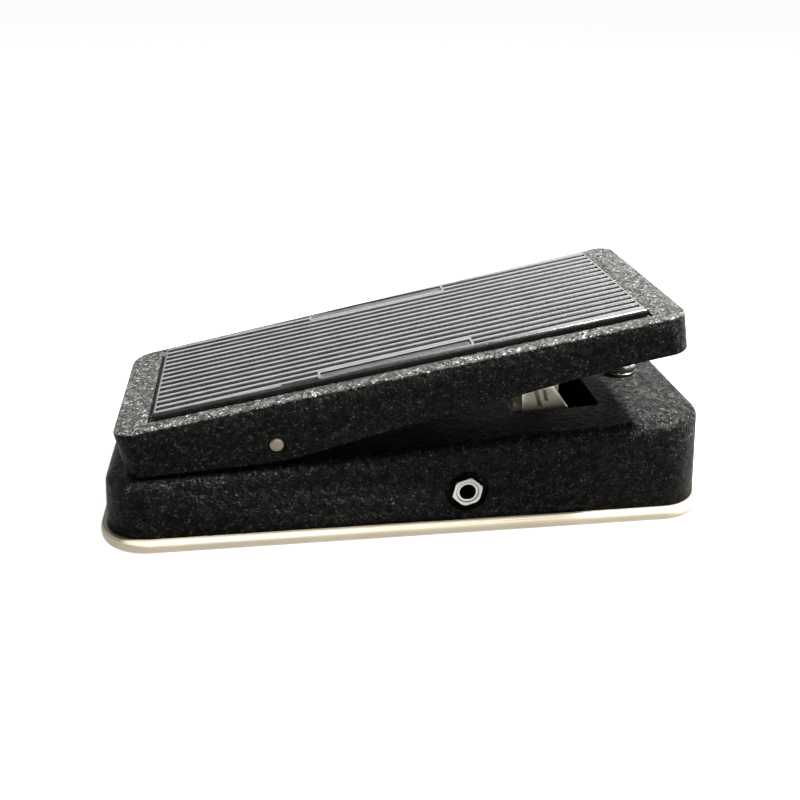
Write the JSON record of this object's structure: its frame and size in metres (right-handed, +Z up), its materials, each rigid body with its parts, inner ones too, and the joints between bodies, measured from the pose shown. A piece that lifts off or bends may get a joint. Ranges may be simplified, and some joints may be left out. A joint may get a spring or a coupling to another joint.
{
  "type": "guitar effects pedal",
  "caption": "Rocker-treadle guitar effects pedal: wedge-shaped cast base with a rack-and-pinion control, footswitch under the toe, ribbed rubber tread and side jack sockets.",
  "frame": {"origin": "on the floor, under the middle of the base", "axes": "+X to the toe, +Y to the output-jack side (player's left), +Z up; heel-down position"},
  "size_m": [0.2532, 0.1014, 0.0909],
  "materials": {
    "wrinkle_paint_casting": "matte",
    "painted_steel_plate": "matte",
    "cream_rubber": "satin",
    "black_rubber": "satin",
    "zinc_plated_steel": "satin",
    "dull_steel_rod": "matte",
    "nickel_plate": "polished",
    "white_nylon": "satin",
    "black_plastic": "satin",
    "board_green": "satin",
    "red_enamel": "gloss",
    "blue_film": "gloss",
    "tan_phenolic": "satin",
    "red_insulation": "satin",
    "green_insulation": "satin",
    "white_insulation": "satin"
  },
  "bodies": {
    "base": {"base_shell": "wrinkle_paint_casting", "base_plate": "painted_steel_plate", "edge_gasket": "cream_rubber", "plate_screw_1": "zinc_plated_steel", "plate_screw_2": "zinc_plated_steel", "plate_screw_3": "zinc_plated_steel", "plate_screw_4": "zinc_plated_steel", "heel_bumper_1": "black_rubber", "heel_bumper_2": "black_rubber", "pivot_bush_left": "white_nylon", "pivot_bush_right": "white_nylon", "tension_eye_bolt": "zinc_plated_steel", "tension_nut": "zinc_plated_steel", "friction_pad": "white_nylon", "pot_body": "zinc_plated_steel", "pot_nut": "nickel_plate", "pot_terminals": "tan_phenolic", "pot_bracket": "zinc_plated_steel", "bracket_screw_1": "zinc_plated_steel", "bracket_screw_2": "zinc_plated_steel", "switch_body": "black_plastic", "switch_bushing": "nickel_plate", "switch_washer": "nickel_plate", "switch_nut_top": "nickel_plate", "switch_nut_inner": "nickel_plate", "switch_terminals": "tan_phenolic", "input_jack": "black_plastic", "input_jack_nut": "nickel_plate", "output_jack": "black_plastic", "output_jack_nut": "nickel_plate", "circuit_board": "board_green", "board_screw_1": "zinc_plated_steel", "board_screw_2": "zinc_plated_steel", "inductor": "red_enamel", "transistor_1": "black_plastic", "transistor_2": "black_plastic", "film_capacitor_1": "blue_film", "film_capacitor_2": "blue_film", "electrolytic_capacitor": "black_plastic", "resistor": "tan_phenolic", "battery": "black_plastic", "battery_snap": "black_plastic", "battery_lead_red": "red_insulation", "battery_lead_black": "black_plastic", "input_wire": "green_insulation", "output_wire": "white_insulation", "switch_wire": "white_insulation", "pot_wire": "green_insulation"},
    "treadle": {"treadle": "wrinkle_paint_casting", "tread_mat": "black_rubber", "rack_clevis": "zinc_plated_steel", "clevis_screw_1": "zinc_plated_steel", "clevis_screw_2": "zinc_plated_steel", "toe_bumper": "black_rubber", "pivot_rod": "dull_steel_rod", "clevis_pin": "nickel_plate"},
    "rack": {"gear_rack": "white_nylon"},
    "pinion": {"pinion": "white_nylon", "pot_shaft": "zinc_plated_steel"},
    "plunger": {"switch_plunger": "nickel_plate"}
  },
  "joints": [
    {"name": "treadle_tilt", "type": "hinge", "parent": "base", "child": "treadle", "pos_m": [-0.054, 0, 0.0417], "axis": [0, 1, 0], "range_deg": [0, 10.5]},
    {"name": "rack_hang", "type": "hinge", "parent": "treadle", "child": "rack", "pos_m": [0.064, 0, 0.0525], "axis": [0, 1, 0], "range_deg": [-10.6, 0.1]},
    {"name": "pinion_turn", "type": "hinge", "parent": "base", "child": "pinion", "pos_m": [0.0518, 0, 0.0285], "axis": [0, 1, 0], "range_deg": [-0.5, 178.5]},
    {"name": "plunger_press", "type": "slide", "parent": "base", "child": "plunger", "axis": [0, 0, -1], "range_m": [0, 0.003], "stiffness_N_per_m": 300, "springref_m": -0.004}
  ],
  "couplings": [
    {"joint": "rack_hang", "follows": "treadle_tilt", "ratio": -1},
    {"joint": "pinion_turn", "follows": "treadle_tilt", "ratio": 16.9}
  ]
}
